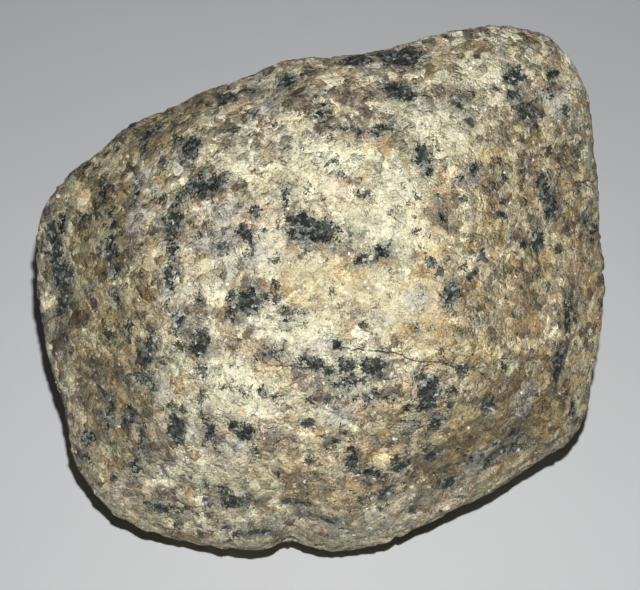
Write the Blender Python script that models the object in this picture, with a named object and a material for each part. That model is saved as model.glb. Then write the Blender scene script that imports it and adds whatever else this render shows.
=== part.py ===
"""A granite pebble: one worn block of rock, a little over 70 mm wide.

The form is worked out in sight axes, in millimetres from the stone's centre:
U to the right, V up and W towards an eye that looks down on the stone. It is
then stood on its flat spot, in metres with +Z up.
"""

from typing import Callable, NamedTuple

import bmesh
import bpy
import numpy as np

METRES_PER_MM = 0.001
FULL_TURN = 2.0 * np.pi

# Where the eye is: its height above the level and its distance from the centre.
SIGHT_ELEVATION = np.radians(55.0)
SIGHT_DISTANCE = 300.0

# Driving dimensions in millimetres. The base centre is the point of the level
# that the outer box stands over, and it becomes the origin.
CENTRE_HEIGHT = 26.0
FRONT_DEPTH = 30.0
BACK_DEPTH = 26.5
REST_PLANE_DISTANCE = 26.9
BASE_CENTRE = (0.14, -0.97)

# How the rounded body and the facets blend: a larger power gives a sharper edge.
BODY_POWER = 2.0
FACET_POWER = 16.0

# The body takes the outline softened by a weighted mean over these turns, in degrees.
SOFTENING_STEPS = [-10.0, -5.0, 0.0, 5.0, 10.0]
SOFTENING_WEIGHTS = [1.0, 4.0, 6.0, 4.0, 1.0]

# How far before and behind the rim its detail reaches, in degrees, and the
# rounds in which that detail is settled.
RIM_REACH = 28.0
RIM_ROUNDS = 4

# Squares along each edge of the cube that the stone is worked from.
SQUARES_PER_EDGE = 28

# The stone's outline as the eye sees it: (U, V), clockwise from the left.
OUTLINE = [
    (-35.2, 4.4), (-34.7, 9.4), (-33.2, 12.5), (-31.1, 15.0), (-27.5, 17.5), (-24.2, 20.0),
    (-18.8, 22.5), (-15.0, 24.5), (-10.0, 26.2), (-5.0, 28.1), (-1.9, 28.8), (2.5, 29.1),
    (7.5, 30.2), (12.5, 31.3), (18.8, 32.6), (22.5, 32.9), (26.2, 32.2), (28.8, 31.2),
    (31.2, 28.5), (32.9, 25.6), (33.8, 20.0), (34.6, 15.6), (35.0, 9.4), (35.5, 1.9),
    (35.0, -4.4), (34.1, -10.6), (33.4, -15.0), (31.5, -18.5), (27.5, -21.2), (22.5, -24.6),
    (16.2, -27.9), (10.0, -30.6), (5.0, -32.2), (1.2, -32.4), (-1.9, -31.8), (-4.1, -31.4),
    (-6.2, -32.1), (-8.8, -32.4), (-13.8, -31.9), (-20.0, -30.6), (-25.0, -28.6), (-28.1, -25.5),
    (-29.9, -22.5), (-31.1, -18.8), (-31.8, -14.4), (-32.8, -11.2), (-33.9, -7.5), (-34.7, -2.5),
]


class Facet(NamedTuple):
    """A worn flat side: its turn round the line of sight, its slope away from it, its distance."""

    turn: float
    slope: float
    distance: float


FACETS = {
    "broad": Facet(80.0, 9.0, 28.0),
    "left": Facet(180.0, 62.0, 29.6),
    "left_shoulder": Facet(172.0, 33.0, 28.4),
    "top_left": Facet(143.0, 57.0, 29.4),
    "left_low": Facet(214.0, 58.0, 31.2),
    "right": Facet(3.0, 53.0, 28.2),
    "right_low": Facet(-40.0, 60.0, 29.0),
    "top": Facet(107.0, 54.0, 30.0),
    "top_right": Facet(52.0, 46.0, 32.0),
    "bottom_left": Facet(-116.0, 46.0, 30.6),
    "bottom": Facet(-82.0, 56.0, 30.0),
    "far": Facet(88.0, 120.0, 28.0),
    "far_left": Facet(155.0, 118.0, 30.5),
    "far_right": Facet(25.0, 120.0, 31.0),
    "under_left": Facet(205.0, 122.0, 29.0),
    "under_right": Facet(-25.0, 124.0, 29.5),
}


class Wave(NamedTuple):
    """Soft lumps over the whole stone: how many waves cross, their length and their height."""

    crossings: int
    length: float
    height: float


WAVES = [Wave(9, 30.0, 0.40), Wave(14, 13.0, 0.20)]
WAVE_SEED = 7


class Dent(NamedTuple):
    """A hollow, or a lump where its depth is negative, on the side that the eye sees."""

    u: float
    v: float
    half_length: float
    half_width: float
    turn: float
    depth: float


DENTS = {
    "rim notch": Dent(-3.4, -29.8, 4.0, 2.2, 70.0, 0.9),
    "upper left hollow": Dent(-25.6, 15.4, 6.0, 4.5, 35.0, 0.5),
    "upper rim hollow": Dent(-17.6, 20.6, 6.0, 4.0, 25.0, 0.4),
    "long top hollow": Dent(10.5, 28.0, 9.0, 4.5, 12.0, 0.6),
    "corner hump": Dent(22.5, 27.5, 7.0, 6.0, 0.0, -0.5),
    "right step lump": Dent(31.0, 22.0, 5.0, 4.5, 80.0, -0.5),
    "right step hollow": Dent(32.0, 14.0, 5.0, 4.0, 80.0, 0.6),
    "flake scar": Dent(31.6, -10.4, 7.0, 4.2, 80.0, 0.9),
    "ledge beside the scar": Dent(28.4, -3.0, 10.0, 3.6, 88.0, -0.5),
    "crossing hollow": Dent(14.0, -9.0, 9.0, 4.0, -22.0, 0.5),
    "left dark hollow": Dent(-30.0, 1.0, 8.0, 4.2, 75.0, 0.5),
    "lower left lump": Dent(-10.0, -17.0, 8.0, 6.0, 10.0, -0.5),
}


def outline_radius(turn: np.ndarray) -> np.ndarray:
    """Work out how far the outline lies from the centre in each direction.

    A cubic curve runs through the outline's points in order of their angle.
    Its slope at a point is the mean slope of the stretches beside it.
    """
    points = np.array(OUTLINE)
    angle = np.arctan2(points[:, 1], points[:, 0])
    order = np.argsort(angle)
    angle = angle[order]
    radius = np.hypot(points[:, 0], points[:, 1])[order]
    angle = np.concatenate([angle[-2:] - FULL_TURN, angle, angle[:2] + FULL_TURN])
    radius = np.concatenate([radius[-2:], radius, radius[:2]])
    slope = np.gradient(radius, angle)
    turn = np.remainder(turn + np.pi, FULL_TURN) - np.pi
    start = np.clip(np.searchsorted(angle, turn, side="right") - 1, 0, len(angle) - 2)
    span = angle[start + 1] - angle[start]
    t = (turn - angle[start]) / span
    rise = (3.0 - 2.0 * t) * t**2
    leave = t * (1.0 - t) ** 2 * span * slope[start]
    arrive = t**2 * (1.0 - t) * span * slope[start + 1]
    return radius[start] * (1.0 - rise) + radius[start + 1] * rise + leave - arrive


def soften(profile: Callable[[np.ndarray], np.ndarray], turn: np.ndarray) -> np.ndarray:
    """Give a profile without its notches: its weighted mean over neighbouring turns."""
    steps = zip(SOFTENING_STEPS, SOFTENING_WEIGHTS)
    total = sum(weight * profile(turn + np.radians(step)) for step, weight in steps)
    return total / sum(SOFTENING_WEIGHTS)


def sight_direction(turn_deg: float, slope_deg: float) -> np.ndarray:
    """Give the unit vector at a turn round the line of sight and a slope away from it."""
    turn, slope = np.radians(turn_deg), np.radians(slope_deg)
    return np.array([np.sin(slope) * np.cos(turn), np.sin(slope) * np.sin(turn), np.cos(slope)])


def upwards() -> np.ndarray:
    """Give the world's up in sight axes."""
    return np.array([0.0, np.cos(SIGHT_ELEVATION), np.sin(SIGHT_ELEVATION)])


def unevenness(direction: np.ndarray) -> np.ndarray:
    """Add up the soft lumps, as crossing sine waves of seeded heading and phase."""
    rng = np.random.default_rng(WAVE_SEED)
    total = np.zeros(len(direction))
    for wave in WAVES:
        heading = rng.normal(size=(wave.crossings, 3))
        heading /= np.linalg.norm(heading, axis=1, keepdims=True)
        phase = rng.uniform(0.0, FULL_TURN, wave.crossings)
        swings = np.sin(direction @ heading.T * FULL_TURN * FRONT_DEPTH / wave.length + phase)
        total += wave.height * swings.sum(axis=1) / np.sqrt(wave.crossings / 2.0)
    return total


def block_radius(direction: np.ndarray) -> np.ndarray:
    """Work out the block's distance from its centre in each direction.

    The rounded body fills the outline and its two depths. The facets and the
    rest plane cut it, joined by a power mean so that their edges are worn.
    """
    turn = np.arctan2(direction[:, 1], direction[:, 0])
    across = np.hypot(direction[:, 0], direction[:, 1]) / soften(outline_radius, turn)
    depth = np.where(direction[:, 2] > 0.0, FRONT_DEPTH, BACK_DEPTH)
    along = np.abs(direction[:, 2]) / depth
    cuts = (across**BODY_POWER + along**BODY_POWER) ** (FACET_POWER / BODY_POWER)
    for facet in FACETS.values():
        normal = sight_direction(facet.turn, facet.slope)
        cuts += np.clip(direction @ normal / facet.distance, 0.0, None) ** FACET_POWER
    cuts += np.clip(-direction @ upwards() / REST_PLANE_DISTANCE, 0.0, None) ** FACET_POWER
    return cuts ** (-1.0 / FACET_POWER) + unevenness(direction)


class Rim:
    """The sideways stretch that brings the widest part of the stone onto its outline.

    For each turn the block's profile is followed from behind the rim to in
    front of it, to find the widest place that the eye sees. A soft swell of
    the whole profile and a detail that fades out before and behind that
    place move it onto the outline.
    """

    def __init__(self) -> None:
        """Find the swell and, in a few rounds, the detail for every turn."""
        self.turns = np.linspace(-np.pi, np.pi, 361)
        lifts = np.radians(np.linspace(-50.0, 60.0, 78))
        turn_grid, lift_grid = np.meshgrid(self.turns, lifts, indexing="ij")
        flat = np.cos(lift_grid)
        direction = np.stack(
            [flat * np.cos(turn_grid), flat * np.sin(turn_grid), np.sin(lift_grid)], axis=-1
        )
        radius = block_radius(direction.reshape(-1, 3)).reshape(turn_grid.shape)
        seen = radius * flat * SIGHT_DISTANCE / (SIGHT_DISTANCE - radius * np.sin(lift_grid))
        self.widest_lift = lifts[seen.argmax(axis=1)]
        gap = outline_radius(self.turns) / seen.max(axis=1)
        self.swell = soften(lambda turn: np.interp(turn, self.turns, gap, period=FULL_TURN), self.turns)
        self.detail = np.ones(len(self.turns))
        for _ in range(RIM_ROUNDS):
            stretched = seen * self.factor(turn_grid, lift_grid)
            self.detail *= outline_radius(self.turns) / stretched.max(axis=1)

    def factor(self, turn: np.ndarray, lift: np.ndarray) -> np.ndarray:
        """Give the sideways scale at each turn and lift."""
        swell = np.interp(turn, self.turns, self.swell)
        detail = np.interp(turn, self.turns, self.detail)
        offset = (lift - np.interp(turn, self.turns, self.widest_lift)) / np.radians(RIM_REACH)
        return swell * (1.0 + (detail - 1.0) * np.exp(-(offset**2)))


def dent_depth(points: np.ndarray) -> np.ndarray:
    """Add up the hollows at each point: full depth in the middle, smoothly none at the rim."""
    total = np.zeros(len(points))
    for dent in DENTS.values():
        turn = np.radians(dent.turn)
        right, up = points[:, 0] - dent.u, points[:, 1] - dent.v
        along = (right * np.cos(turn) + up * np.sin(turn)) / dent.half_length
        across = (up * np.cos(turn) - right * np.sin(turn)) / dent.half_width
        inside = np.clip(1.0 - along**2 - across**2, 0.0, None)
        total += np.where(points[:, 2] > 0.0, dent.depth * inside**2, 0.0)
    return total


def stone_points(direction: np.ndarray) -> np.ndarray:
    """Place a point of the stone's surface in each direction, standing in millimetres."""
    points = direction * block_radius(direction)[:, None]
    turn = np.arctan2(direction[:, 1], direction[:, 0])
    lift = np.arcsin(np.clip(direction[:, 2], -1.0, 1.0))
    points[:, :2] *= Rim().factor(turn, lift)[:, None]
    points -= direction * dent_depth(points)[:, None]
    u, v, w = points.T
    sine, cosine = np.sin(SIGHT_ELEVATION), np.cos(SIGHT_ELEVATION)
    x = u - BASE_CENTRE[0]
    y = v * sine - w * cosine - BASE_CENTRE[1]
    z = v * cosine + w * sine + CENTRE_HEIGHT
    return np.stack([x, y, np.maximum(z, 0.0)], axis=1)


def cube_directions(corners: np.ndarray) -> np.ndarray:
    """Turn points of a cube from -1 to 1 into directions that are evenly spread."""
    spread = np.tan(corners * np.pi / 4.0)
    return spread / np.linalg.norm(spread, axis=1, keepdims=True)


def granite_material() -> bpy.types.Material:
    """Make the granite's plain material."""
    material = bpy.data.materials.new("granite")
    material.use_nodes = True
    shader = material.node_tree.nodes["Principled BSDF"]
    shader.inputs["Base Color"].default_value = (0.50, 0.46, 0.37, 1.0)
    shader.inputs["Roughness"].default_value = 0.62
    shader.inputs["Metallic"].default_value = 0.0
    return material


def make_pebble(collection: bpy.types.Collection) -> bpy.types.Object:
    """Work a subdivided cube into the stone."""
    work = bmesh.new()
    bmesh.ops.create_cube(work, size=2.0)
    bmesh.ops.subdivide_edges(work, edges=work.edges[:], cuts=SQUARES_PER_EDGE - 1, use_grid_fill=True)
    corners = np.array([vertex.co[:] for vertex in work.verts])
    for vertex, place in zip(work.verts, stone_points(cube_directions(corners))):
        vertex.co = place * METRES_PER_MM
    bmesh.ops.triangulate(work, faces=work.faces[:], quad_method="SHORT_EDGE")
    bmesh.ops.recalc_face_normals(work, faces=work.faces[:])
    mesh = bpy.data.meshes.new("pebble")
    work.to_mesh(mesh)
    work.free()
    mesh.shade_smooth()
    mesh.materials.append(granite_material())
    pebble = bpy.data.objects.new("pebble", mesh)
    collection.objects.link(pebble)
    return pebble


def main() -> None:
    """Clear the scene and make the stone in its own collection."""
    for item in list(bpy.data.objects):
        bpy.data.objects.remove(item, do_unlink=True)
    collection = bpy.data.collections.new("granite pebble")
    bpy.context.scene.collection.children.link(collection)
    make_pebble(collection)


if __name__ == "__main__":
    main()
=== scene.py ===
"""A granite pebble on a pale floor, with its fine surface and speckled finish.

The stone is worked out in sight axes, in millimetres from its centre: U to the
right, V up and W towards an eye that looks down on it. It is stood on its flat
spot and turned into metres when its mesh is made.
"""

import logging
from collections.abc import Callable, Sequence
from dataclasses import dataclass, field
from enum import Enum

import bpy
import numpy as np
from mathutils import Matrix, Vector


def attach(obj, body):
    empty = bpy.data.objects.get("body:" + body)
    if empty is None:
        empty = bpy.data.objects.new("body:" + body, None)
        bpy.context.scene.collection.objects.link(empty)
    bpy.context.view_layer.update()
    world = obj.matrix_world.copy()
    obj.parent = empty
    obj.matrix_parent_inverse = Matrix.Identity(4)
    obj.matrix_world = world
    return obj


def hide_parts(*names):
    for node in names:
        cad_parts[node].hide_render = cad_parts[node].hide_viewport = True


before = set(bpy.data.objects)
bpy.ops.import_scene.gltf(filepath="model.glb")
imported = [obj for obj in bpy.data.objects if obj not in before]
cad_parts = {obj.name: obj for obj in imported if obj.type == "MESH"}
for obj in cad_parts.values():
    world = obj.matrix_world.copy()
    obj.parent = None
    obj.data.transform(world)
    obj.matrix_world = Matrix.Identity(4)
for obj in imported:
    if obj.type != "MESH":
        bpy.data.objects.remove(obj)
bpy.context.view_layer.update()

METRES_PER_MM = 0.001
FULL_TURN = 2.0 * np.pi
PIXELS_PER_MM = 8.0
CENTRE_PIXEL = (320.0, 290.0)
IMAGE_SIZE = (640, 590)

LATTICE_SIDE = 48
NOISE_SEED_SHIFT = 0.37
CRYSTAL_SEED_SHIFT = 0.53
FAR_OUTSIDE = -3.0
EDGE_LAYERS = 3.0
EDGE_FINENESS = 0.6
FRAY_SCALE = 4.3
GRAIN_LAYERS = 1.5
GRAIN_FINENESS = 0.5
GRAIN_FRAY_SCALE = 3.6
MIDDLE = (0.5, 0.5, 0.5)

Array = np.ndarray
Colour = tuple[float, float, float]
Place = tuple[float, float, float]
Span = tuple[float, float]
Socket = bpy.types.NodeSocket
Value = Socket | float | tuple


@dataclass(frozen=True)
class Sight:
    """The line of sight on the stone, and where the sight axes start in world millimetres."""

    elevation: float = np.radians(55.0)
    distance: float = 300.0
    centre: Place = (-0.14, 0.97, 26.0)

    def upwards(self) -> Array:
        """Give the world's up in sight axes."""
        return np.array([0.0, np.cos(self.elevation), np.sin(self.elevation)])

    def to_world(self, points: Array) -> Array:
        """Turn sight axes into world millimetres, by tipping them back by the elevation.

        Args:
            points: places in sight millimetres.

        Returns:
            The same places in the world.
        """
        u, v, w = points[..., 0], points[..., 1], points[..., 2]
        sine, cosine = np.sin(self.elevation), np.cos(self.elevation)
        turned = np.stack([u, v * sine - w * cosine, v * cosine + w * sine], axis=-1)
        return turned + np.array(self.centre)

    def picture(self, points: Array) -> Array:
        """Give where the eye sees points: U and V scaled by how near each point is."""
        return points[..., :2] * (self.distance / (self.distance - points[..., 2]))[..., None]


SIGHT = Sight()


def cubic_step(low: float, high: float, value: Array) -> Array:
    """Rise smoothly from 0 at low to 1 at high, as 3t^2 - 2t^3."""
    t = np.clip((value - low) / (high - low), 0.0, 1.0)
    return t * t * (3.0 - 2.0 * t)


def lattice_noise(points: Array, pitch: float, seed: int) -> Array:
    """Soft noise from -1 to 1: random values on a lattice, blended by cubic steps.

    Args:
        points: places in millimetres, one a row.
        pitch: size of a lattice cell in millimetres.
        seed: picks the random values.

    Returns:
        One value for each point.
    """
    values = np.random.default_rng(seed).uniform(-1.0, 1.0, (LATTICE_SIDE,) * 3)
    place = points / pitch + NOISE_SEED_SHIFT * seed
    cell = np.floor(place).astype(int)
    t = cubic_step(0.0, 1.0, place - cell)
    total = np.zeros(len(points))
    for corner in np.ndindex(2, 2, 2):
        weight = np.prod(np.where(np.array(corner) == 1, t, 1.0 - t), axis=1)
        i, j, k = ((cell + corner) % LATTICE_SIDE).T
        total += weight * values[i, j, k]
    return total


def crystal_height(points: Array, pitch: float, slope: float, seed: int) -> Array:
    """Tilt each crystal of a random mosaic its own way, as flat faces that meet in steps.

    Each lattice cell holds one crystal centre. A point belongs to the nearest
    centre, and its height is its distance from there along that crystal's tilt.

    Args:
        points: places in millimetres, one a row.
        pitch: size of a crystal in millimetres.
        slope: how steep the steepest faces are.
        seed: picks the mosaic.

    Returns:
        One height in millimetres for each point.
    """
    table = np.random.default_rng(seed).uniform(0.0, 1.0, (LATTICE_SIDE,) * 3 + (6,))
    place = points / pitch + CRYSTAL_SEED_SHIFT * seed
    cell = np.floor(place).astype(int)
    nearest = np.full(len(points), np.inf)
    height = np.zeros(len(points))
    for step in np.ndindex(3, 3, 3):
        at = cell + np.array(step) - 1
        i, j, k = (at % LATTICE_SIDE).T
        values = table[i, j, k]
        reach = place - at - values[:, :3]
        distance = (reach**2).sum(axis=1)
        rise = (reach * (2.0 * values[:, 3:] - 1.0)).sum(axis=1) * slope * pitch
        height = np.where(distance < nearest, rise, height)
        nearest = np.minimum(nearest, distance)
    return height


@dataclass(frozen=True)
class Facet:
    """A worn flat side: its turn round the line of sight, its slope away from it, its distance."""

    turn: float
    slope: float
    distance: float

    def normal(self) -> Array:
        """Give the facet's unit normal in sight axes."""
        turn, slope = np.radians(self.turn), np.radians(self.slope)
        return np.array([np.sin(slope) * np.cos(turn), np.sin(slope) * np.sin(turn), np.cos(slope)])


@dataclass(frozen=True)
class Wave:
    """Soft lumps over the whole stone: how many waves cross, their length and their height."""

    crossings: int
    length: float
    height: float


@dataclass(frozen=True)
class Dent:
    """A hollow, or a lump where its depth is negative, on the side that the eye sees."""

    u: float
    v: float
    half_length: float
    half_width: float
    turn: float
    depth: float

    def depth_at(self, points: Array) -> Array:
        """Give the depth at each point: full in the middle, smoothly none at the rim.

        Args:
            points: the surface, in sight millimetres.

        Returns:
            One depth in millimetres for each point.
        """
        turn = np.radians(self.turn)
        right, up = points[:, 0] - self.u, points[:, 1] - self.v
        along = (right * np.cos(turn) + up * np.sin(turn)) / self.half_length
        across = (up * np.cos(turn) - right * np.sin(turn)) / self.half_width
        inside = np.clip(1.0 - along**2 - across**2, 0.0, None)
        return np.where(points[:, 2] > 0.0, self.depth * inside**2, 0.0)


# The stone's outline as the eye sees it: (U, V) in millimetres, clockwise from the left.
OUTLINE = [
    (-35.2, 4.4), (-34.7, 9.4), (-33.2, 12.5), (-31.1, 15.0), (-27.5, 17.5), (-24.2, 20.0),
    (-18.8, 22.5), (-15.0, 24.5), (-10.0, 26.2), (-5.0, 28.1), (-1.9, 28.8), (2.5, 29.1),
    (7.5, 30.2), (12.5, 31.3), (18.8, 32.6), (22.5, 32.9), (26.2, 32.2), (28.8, 31.2),
    (31.2, 28.5), (32.9, 25.6), (33.8, 20.0), (34.6, 15.6), (35.0, 9.4), (35.5, 1.9),
    (35.0, -4.4), (34.1, -10.6), (33.4, -15.0), (31.5, -18.5), (27.5, -21.2), (22.5, -24.6),
    (16.2, -27.9), (10.0, -30.6), (5.0, -32.2), (1.2, -32.4), (-1.9, -31.8), (-4.1, -31.4),
    (-6.2, -32.1), (-8.8, -32.4), (-13.8, -31.9), (-20.0, -30.6), (-25.0, -28.6), (-28.1, -25.5),
    (-29.9, -22.5), (-31.1, -18.8), (-31.8, -14.4), (-32.8, -11.2), (-33.9, -7.5), (-34.7, -2.5),
]

FACETS = [
    Facet(80.0, 9.0, 28.0),
    Facet(180.0, 62.0, 29.6),
    Facet(172.0, 33.0, 28.4),
    Facet(143.0, 57.0, 29.4),
    Facet(214.0, 58.0, 31.2),
    Facet(3.0, 53.0, 28.2),
    Facet(-40.0, 60.0, 29.0),
    Facet(107.0, 54.0, 30.0),
    Facet(52.0, 46.0, 32.0),
    Facet(-116.0, 46.0, 30.6),
    Facet(-82.0, 56.0, 30.0),
    Facet(88.0, 120.0, 28.0),
    Facet(155.0, 118.0, 30.5),
    Facet(25.0, 120.0, 31.0),
    Facet(205.0, 122.0, 29.0),
    Facet(-25.0, 124.0, 29.5),
]

WAVES = [Wave(9, 30.0, 0.40), Wave(14, 13.0, 0.20)]

DENTS = [
    Dent(-3.4, -29.8, 4.0, 2.2, 70.0, 0.9),
    Dent(-25.6, 15.4, 6.0, 4.5, 35.0, 0.5),
    Dent(-17.6, 20.6, 6.0, 4.0, 25.0, 0.4),
    Dent(10.5, 28.0, 9.0, 4.5, 12.0, 0.6),
    Dent(22.5, 27.5, 7.0, 6.0, 0.0, -0.5),
    Dent(31.0, 22.0, 5.0, 4.5, 80.0, -0.5),
    Dent(32.0, 14.0, 5.0, 4.0, 80.0, 0.6),
    Dent(31.6, -10.4, 7.0, 4.2, 80.0, 0.9),
    Dent(28.4, -3.0, 10.0, 3.6, 88.0, -0.5),
    Dent(14.0, -9.0, 9.0, 4.0, -22.0, 0.5),
    Dent(-30.0, 1.0, 8.0, 4.2, 75.0, 0.5),
    Dent(-10.0, -17.0, 8.0, 6.0, 10.0, -0.5),
]


@dataclass
class Outline:
    """The outline's distance from the centre as a curve over the turn round the sight line."""

    points: list[tuple[float, float]]
    softening_steps: tuple[float, ...] = (-10.0, -5.0, 0.0, 5.0, 10.0)
    softening_weights: tuple[float, ...] = (1.0, 4.0, 6.0, 4.0, 1.0)

    def radius(self, turn: Array) -> Array:
        """Follow a cubic curve through the points, each with the mean slope of its neighbours.

        Args:
            turn: turns round the sight line, in radians.

        Returns:
            The outline's distance from the centre at each turn.
        """
        points = np.array(self.points)
        angle = np.arctan2(points[:, 1], points[:, 0])
        order = np.argsort(angle)
        angle = angle[order]
        radius = np.hypot(points[:, 0], points[:, 1])[order]
        angle = np.concatenate([angle[-2:] - FULL_TURN, angle, angle[:2] + FULL_TURN])
        radius = np.concatenate([radius[-2:], radius, radius[:2]])
        slope = np.gradient(radius, angle)
        turn = np.remainder(turn + np.pi, FULL_TURN) - np.pi
        start = np.clip(np.searchsorted(angle, turn, side="right") - 1, 0, len(angle) - 2)
        span = angle[start + 1] - angle[start]
        t = (turn - angle[start]) / span
        rise = (3.0 - 2.0 * t) * t**2
        leave = t * (1.0 - t) ** 2 * span * slope[start]
        arrive = t**2 * (1.0 - t) * span * slope[start + 1]
        return radius[start] * (1.0 - rise) + radius[start + 1] * rise + leave - arrive

    def soften(self, profile: Callable[[Array], Array], turn: Array) -> Array:
        """Give a profile without its notches: its weighted mean over neighbouring turns.

        Args:
            profile: gives a value for each turn.
            turn: turns round the sight line, in radians.

        Returns:
            The softened value at each turn.
        """
        steps = zip(self.softening_steps, self.softening_weights)
        total = sum(weight * profile(turn + np.radians(step)) for step, weight in steps)
        return total / sum(self.softening_weights)


@dataclass
class Block:
    """The stone's body: a rounded block cut by facets, as a distance in each direction."""

    outline: Outline
    facets: list[Facet]
    waves: list[Wave]
    wave_seed: int = 7
    front_depth: float = 30.0
    back_depth: float = 26.5
    rest_distance: float = 26.9
    body_power: float = 2.0
    facet_power: float = 16.0

    def unevenness(self, direction: Array) -> Array:
        """Add up the soft lumps, as crossing sine waves of seeded heading and phase.

        Args:
            direction: unit vectors in sight axes.

        Returns:
            One height in millimetres for each direction.
        """
        rng = np.random.default_rng(self.wave_seed)
        total = np.zeros(len(direction))
        for wave in self.waves:
            heading = rng.normal(size=(wave.crossings, 3))
            heading /= np.linalg.norm(heading, axis=1, keepdims=True)
            phase = rng.uniform(0.0, FULL_TURN, wave.crossings)
            swings = np.sin(direction @ heading.T * FULL_TURN * self.front_depth / wave.length + phase)
            total += wave.height * swings.sum(axis=1) / np.sqrt(wave.crossings / 2.0)
        return total

    def radius(self, direction: Array) -> Array:
        """Give the distance in each direction: the body and its cuts joined by a power mean.

        Args:
            direction: unit vectors in sight axes.

        Returns:
            One distance in millimetres for each direction.
        """
        turn = np.arctan2(direction[:, 1], direction[:, 0])
        wide = self.outline.soften(self.outline.radius, turn)
        across = np.hypot(direction[:, 0], direction[:, 1]) / wide
        depth = np.where(direction[:, 2] > 0.0, self.front_depth, self.back_depth)
        along = np.abs(direction[:, 2]) / depth
        power = self.facet_power
        cuts = (across**self.body_power + along**self.body_power) ** (power / self.body_power)
        for facet in self.facets:
            cuts += np.clip(direction @ facet.normal() / facet.distance, 0.0, None) ** power
        cuts += np.clip(-direction @ SIGHT.upwards() / self.rest_distance, 0.0, None) ** power
        return cuts ** (-1.0 / power) + self.unevenness(direction)


class Rim:
    """The sideways stretch that brings the widest part of the block onto its outline.

    For each turn the block's profile is followed from behind the rim to in
    front of it, to find the widest place that the eye sees. A soft swell of
    the whole profile and a detail that fades out before and behind that
    place move it onto the outline.
    """

    reach: float = np.radians(28.0)
    rounds: int = 4
    turn_steps: int = 361
    lift_steps: int = 78
    lowest_lift: float = np.radians(-50.0)
    highest_lift: float = np.radians(60.0)

    def __init__(self, block: Block) -> None:
        """Find the swell and, in a few rounds, the detail for every turn.

        Args:
            block: the body whose rim is stretched.
        """
        outline = block.outline
        self.turns = np.linspace(-np.pi, np.pi, self.turn_steps)
        lifts = np.linspace(self.lowest_lift, self.highest_lift, self.lift_steps)
        turn_grid, lift_grid = np.meshgrid(self.turns, lifts, indexing="ij")
        flat = np.cos(lift_grid)
        direction = np.stack(
            [flat * np.cos(turn_grid), flat * np.sin(turn_grid), np.sin(lift_grid)], axis=-1
        )
        radius = block.radius(direction.reshape(-1, 3)).reshape(turn_grid.shape)
        seen = radius * flat * SIGHT.distance / (SIGHT.distance - radius * np.sin(lift_grid))
        self.widest_lift = lifts[seen.argmax(axis=1)]
        gap = outline.radius(self.turns) / seen.max(axis=1)
        self.swell = outline.soften(
            lambda turn: np.interp(turn, self.turns, gap, period=FULL_TURN), self.turns
        )
        self.detail = np.ones(len(self.turns))
        for _ in range(self.rounds):
            stretched = seen * self.factor(turn_grid, lift_grid)
            self.detail *= outline.radius(self.turns) / stretched.max(axis=1)

    def factor(self, turn: Array, lift: Array) -> Array:
        """Give the sideways scale at each turn and lift.

        Args:
            turn: turns round the sight line, in radians.
            lift: angles towards the eye from the plane across its line, in radians.

        Returns:
            One factor for each pair.
        """
        swell = np.interp(turn, self.turns, self.swell)
        detail = np.interp(turn, self.turns, self.detail)
        offset = (lift - np.interp(turn, self.turns, self.widest_lift)) / self.reach
        return swell * (1.0 + (detail - 1.0) * np.exp(-(offset**2)))


def grid_quads(side: int) -> Array:
    """Join a square grid of points into quads, each the four corners of one square in turn.

    Args:
        side: how many points there are along each side.

    Returns:
        Point rows, four to a quad.
    """
    index = np.arange(side**2).reshape(side, side)
    corners = [index[:-1, :-1], index[1:, :-1], index[1:, 1:], index[:-1, 1:]]
    return np.stack(corners, axis=-1).reshape(-1, 4)


@dataclass
class CubeGrid:
    """Six square grids on a cube, joined at its edges and blown up to a ball."""

    squares: int

    def lattice(self) -> tuple[Array, Array]:
        """Lay out the grids.

        Returns:
            Whole-number corners from 0 to the number of squares, and quads of their rows.
        """
        count = self.squares
        a, b = np.meshgrid(np.arange(count + 1), np.arange(count + 1), indexing="ij")
        low, high = np.zeros_like(a), np.full_like(a, count)
        sides = [
            (high, a, b), (low, b, a), (b, high, a), (a, low, b), (a, b, high), (b, a, low),
        ]
        corners = np.concatenate([np.stack(side, axis=-1).reshape(-1, 3) for side in sides])
        square = grid_quads(count + 1)
        quads = np.concatenate([square + side * (count + 1) ** 2 for side in range(len(sides))])
        unique, place = np.unique(corners, axis=0, return_inverse=True)
        return unique, place.reshape(-1)[quads]

    def directions(self, corners: Array) -> Array:
        """Turn lattice corners into unit vectors that are evenly spread."""
        spread = np.tan((2.0 * corners / self.squares - 1.0) * np.pi / 4.0)
        return spread / np.linalg.norm(spread, axis=1, keepdims=True)


def point_normals(points: Array, quads: Array) -> Array:
    """Give each point's unit normal, from the crossed diagonals of the quads around it.

    Args:
        points: the surface, one point a row.
        quads: point rows, four to a quad.

    Returns:
        One unit vector for each point.
    """
    face = np.cross(points[quads[:, 2]] - points[quads[:, 0]], points[quads[:, 3]] - points[quads[:, 1]])
    total = np.zeros_like(points)
    for corner in range(4):
        np.add.at(total, quads[:, corner], face)
    return total / np.linalg.norm(total, axis=1, keepdims=True)


def mesh_object(name: str, points: Array, quads: Array) -> bpy.types.Object:
    """Put points and quads into a new mesh object at the origin.

    Args:
        name: the object's name.
        points: the surface in metres, one point a row.
        quads: point rows, four to a quad.

    Returns:
        The object, linked to the scene.
    """
    mesh = bpy.data.meshes.new(name)
    mesh.from_pydata(points.tolist(), [], quads.tolist())
    mesh.update()
    thing = bpy.data.objects.new(name, mesh)
    bpy.context.scene.collection.objects.link(thing)
    return thing


class Mineral(Enum):
    """What a listed patch stands for, which names its attribute: a mineral or stain, or painted shade,
    shadow or glints.
    """

    DARK = "dark"
    SMOKY = "smoky"
    OCHRE = "ochre"
    PALE = "pale"
    SHADED = "dirt_and_shade"
    QUARTZ = "quartz"
    WARM = "warm"


@dataclass(frozen=True)
class Patch:
    """A patch as the picture shows it: its middle and full size in pixels, its turn in degrees."""

    x: float
    y: float
    long: float
    wide: float
    turn: float = 0.0


# Dark grains; the thin patches near x 166 to 181, y 204 to 284 paint the shadow along the left crest.
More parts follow.
